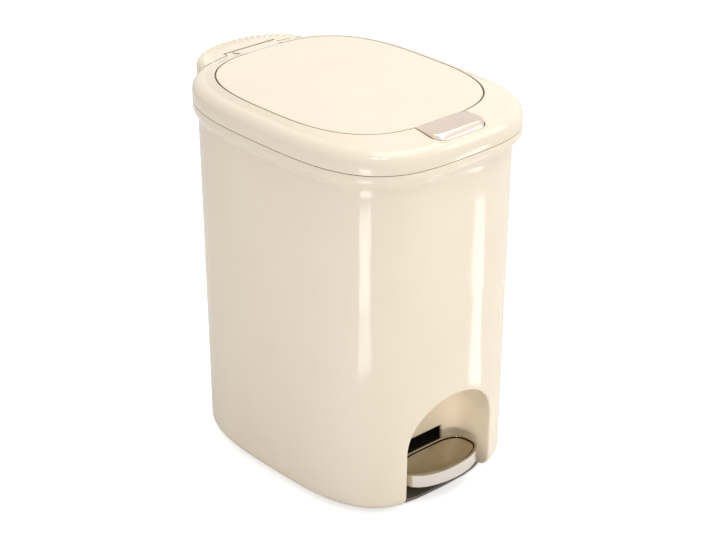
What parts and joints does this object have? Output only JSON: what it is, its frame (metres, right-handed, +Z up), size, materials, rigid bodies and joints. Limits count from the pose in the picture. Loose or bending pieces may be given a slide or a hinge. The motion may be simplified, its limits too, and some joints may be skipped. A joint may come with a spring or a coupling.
{
  "type": "pedal bin",
  "caption": "Rounded rectangular kitchen bin with a lift-off lid frame, hinged flap, push latch, pedal in a front niche, push rod and lift-out bucket with a bail.",
  "frame": {"origin": "centre of the bin's footprint on the floor, midway between the front bead and the back of the ribbed hinge cover", "axes": "+Z up, -Y towards the person at the pedal, +X across the width, to the right as that person sees it"},
  "size_m": [0.21, 0.298, 0.3386],
  "materials": {
    "cream_plastic": "glossy, smooth",
    "grey_plastic": "fine matte",
    "black_plastic": "satin",
    "nylon": "satin",
    "rubber": "matte",
    "zinc_steel": "zinc plated",
    "band_steel": "brushed along the band",
    "bronze_plate": "bronze tinted, semi-bright",
    "champagne_metal": "champagne anodised, brushed top and bright front"
  },
  "bodies": {
    "body": {"outer_body": "cream_plastic", "base_plate": "grey_plastic", "foot_front_left": "rubber", "foot_front_right": "rubber", "foot_rear_left": "rubber", "foot_rear_right": "rubber", "base_screw_front_left": "zinc_steel", "base_screw_front_right": "zinc_steel", "base_screw_rear_left": "zinc_steel", "base_screw_rear_right": "zinc_steel", "pedal_pin": "zinc_steel", "rod_guide_lower": "nylon", "rod_guide_upper": "nylon"},
    "pedal": {"pedal_rim": "band_steel", "pedal_tread": "black_plastic", "pedal_inlay": "bronze_plate", "pedal_lever": "black_plastic", "pedal_screw_left": "zinc_steel", "pedal_screw_right": "zinc_steel"},
    "rod": {"push_rod": "zinc_steel", "rod_cap": "nylon", "rod_foot": "nylon"},
    "frame": {"lid_frame": "cream_plastic", "hinge_cover": "cream_plastic", "cover_screw_left": "zinc_steel", "cover_screw_right": "zinc_steel", "hinge_pin": "zinc_steel", "flap_bumper_left": "rubber", "flap_bumper_right": "rubber", "button_pin": "zinc_steel"},
    "flap": {"flap_panel": "cream_plastic", "hinge_knuckle": "cream_plastic", "knuckle_screw_left": "zinc_steel", "knuckle_screw_right": "zinc_steel", "latch_catch": "black_plastic", "catch_screw": "zinc_steel"},
    "button": {"button_cap": "champagne_metal", "button_rocker": "black_plastic", "button_spring": "zinc_steel"},
    "bucket": {"inner_bucket": "cream_plastic"},
    "bail": {"bucket_bail": "zinc_steel", "bail_grip": "nylon"}
  },
  "joints": [
    {"name": "pedal_tilt", "type": "hinge", "parent": "body", "child": "pedal", "pos_m": [0, -0.044, 0.017], "axis": [1, 0, 0], "range_deg": [0, 6.5]},
    {"name": "rod_slide", "type": "slide", "parent": "body", "child": "rod", "axis": [0, 0, 1], "range_m": [0, 0.0165]},
    {"name": "frame_lift", "type": "slide", "parent": "body", "child": "frame", "axis": [0, 0, 1], "range_m": [0, 0.45]},
    {"name": "flap_hinge", "type": "hinge", "parent": "frame", "child": "flap", "pos_m": [0, 0.1174, 0.3295], "axis": [-1, 0, 0], "range_deg": [0, 75]},
    {"name": "button_push", "type": "hinge", "parent": "frame", "child": "button", "pos_m": [0, -0.1185, 0.33], "axis": [1, 0, 0], "range_deg": [0, 9], "stiffness_Nm_per_rad": 0.02, "springref_deg": -5.73, "deforming": ["button_spring"]},
    {"name": "bucket_lift", "type": "slide", "parent": "body", "child": "bucket", "axis": [0, 0, 1], "range_m": [0, 0.3]},
    {"name": "bail_swing", "type": "hinge", "parent": "bucket", "child": "bail", "pos_m": [0, -0.02, 0.302], "axis": [-1, 0, 0], "range_deg": [0, 90]}
  ],
  "couplings": [
    {"joint": "rod_slide", "follows": "pedal_tilt", "m_per_rad": 0.1449},
    {"joint": "flap_hinge", "follows": "pedal_tilt", "ratio": 11.53},
    {"joint": "bucket_lift", "follows": "frame_lift", "ratio": 0.666},
    {"joint": "bail_swing", "follows": "frame_lift", "rad_per_m": 3.49}
  ]
}
